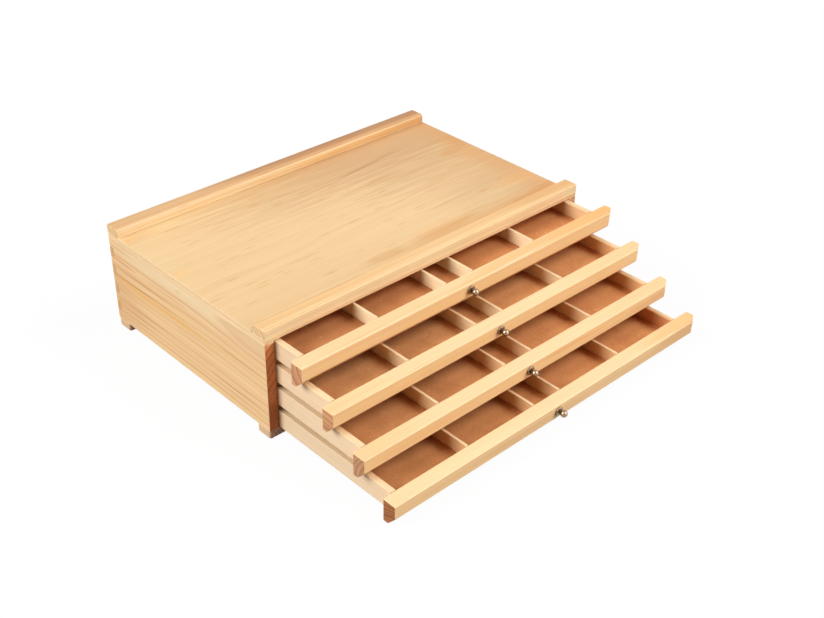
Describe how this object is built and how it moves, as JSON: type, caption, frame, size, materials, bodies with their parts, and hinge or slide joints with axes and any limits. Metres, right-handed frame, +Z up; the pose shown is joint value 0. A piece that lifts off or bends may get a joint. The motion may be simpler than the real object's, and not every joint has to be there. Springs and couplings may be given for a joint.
{
  "type": "art supply storage box",
  "caption": "Low wooden chest of shallow slide-out drawers with divided bays, full-width front rails with small round knobs, a lipped top and block feet.",
  "frame": {"origin": "on the ground, under the middle of the box with its drawers stepped open as in the picture", "axes": "+X to the right seen from the front, +Y from the drawer fronts to the back, +Z up"},
  "size_m": [0.3984, 0.4054, 0.1131],
  "materials": {
    "pine": "clear satin lacquer on pale pine, grain along each board",
    "pine_rail": "clear satin lacquer on yellow pine with rounded edges",
    "pine_pale": "planed pale pinkish softwood, nearly matte",
    "plywood": "clear satin lacquer on pine veneer",
    "hardboard": "matte reddish brown hardboard",
    "aged_metal": "dark antiqued metal, polished on the high spots"
  },
  "bodies": {
    "case": {"case_left_side": "pine", "case_right_side": "pine", "case_back_panel": "pine", "case_top_board": "plywood", "case_bottom_panel": "hardboard", "front_lip": "pine", "rear_lip": "pine", "foot_front_left": "pine", "foot_front_right": "pine", "foot_rear_left": "pine", "foot_rear_right": "pine", "runner_1_left": "pine_pale", "runner_1_right": "pine_pale", "runner_2_left": "pine_pale", "runner_2_right": "pine_pale", "runner_3_left": "pine_pale", "runner_3_right": "pine_pale"},
    "drawer_1": {"drawer_1_front_rail": "pine_rail", "drawer_1_left_side": "pine_pale", "drawer_1_right_side": "pine_pale", "drawer_1_back": "pine_pale", "drawer_1_bottom_panel": "hardboard", "drawer_1_divider_1": "pine_pale", "drawer_1_divider_2": "pine_pale", "drawer_1_divider_3": "pine_pale", "drawer_1_divider_4": "pine_pale", "drawer_1_knob": "aged_metal"},
    "drawer_2": {"drawer_2_front_rail": "pine_rail", "drawer_2_left_side": "pine_pale", "drawer_2_right_side": "pine_pale", "drawer_2_back": "pine_pale", "drawer_2_bottom_panel": "hardboard", "drawer_2_divider_1": "pine_pale", "drawer_2_divider_2": "pine_pale", "drawer_2_divider_3": "pine_pale", "drawer_2_divider_4": "pine_pale", "drawer_2_knob": "aged_metal"},
    "drawer_3": {"drawer_3_front_rail": "pine_rail", "drawer_3_left_side": "pine_pale", "drawer_3_right_side": "pine_pale", "drawer_3_back": "pine_pale", "drawer_3_bottom_panel": "hardboard", "drawer_3_divider_1": "pine_pale", "drawer_3_divider_2": "pine_pale", "drawer_3_divider_3": "pine_pale", "drawer_3_divider_4": "pine_pale", "drawer_3_knob": "aged_metal"},
    "drawer_4": {"drawer_4_front_rail": "pine_rail", "drawer_4_left_side": "pine_pale", "drawer_4_right_side": "pine_pale", "drawer_4_back": "pine_pale", "drawer_4_bottom_panel": "hardboard", "drawer_4_divider_1": "pine_pale", "drawer_4_divider_2": "pine_pale", "drawer_4_divider_3": "pine_pale", "drawer_4_divider_4": "pine_pale", "drawer_4_knob": "aged_metal"}
  },
  "joints": [
    {"name": "drawer_1_slide", "type": "slide", "parent": "case", "child": "drawer_1", "axis": [0, -1, 0], "range_m": [-0.0303, 0.1447]},
    {"name": "drawer_2_slide", "type": "slide", "parent": "case", "child": "drawer_2", "axis": [0, -1, 0], "range_m": [-0.0686, 0.1064]},
    {"name": "drawer_3_slide", "type": "slide", "parent": "case", "child": "drawer_3", "axis": [0, -1, 0], "range_m": [-0.1057, 0.0693]},
    {"name": "drawer_4_slide", "type": "slide", "parent": "case", "child": "drawer_4", "axis": [0, -1, 0], "range_m": [-0.1414, 0.0336]}
  ]
}
